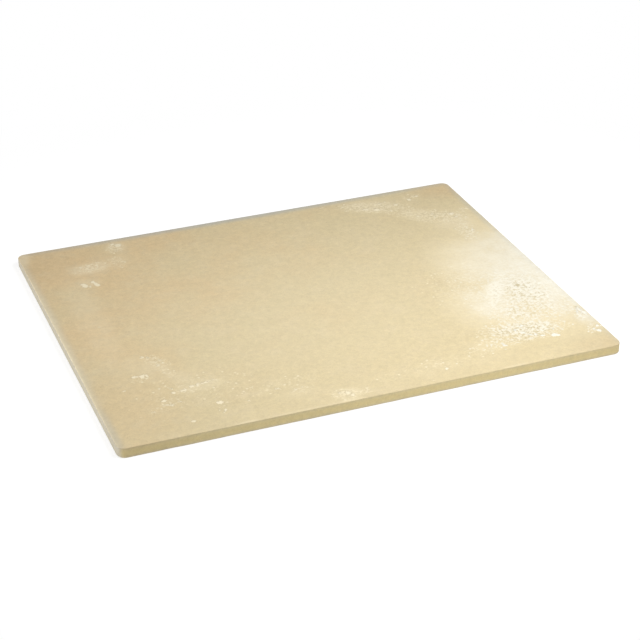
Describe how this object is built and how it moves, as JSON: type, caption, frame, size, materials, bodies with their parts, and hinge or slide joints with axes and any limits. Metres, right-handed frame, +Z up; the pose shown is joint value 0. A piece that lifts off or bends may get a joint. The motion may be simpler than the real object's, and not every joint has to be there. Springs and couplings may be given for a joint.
{
  "type": "pizza stone",
  "caption": "Flat rectangular slab of fired ceramic with eased edges and slightly rounded corners, for baking on.",
  "frame": {"origin": "centre of the underside", "axes": "+X along the long side, +Y along the short side towards the back, +Z up out of the baking surface"},
  "size_m": [0.43, 0.35, 0.0093],
  "materials": {
    "fired_ceramic": "matte"
  },
  "bodies": {
    "root": {"baking_stone": "fired_ceramic"}
  },
  "joints": []
}
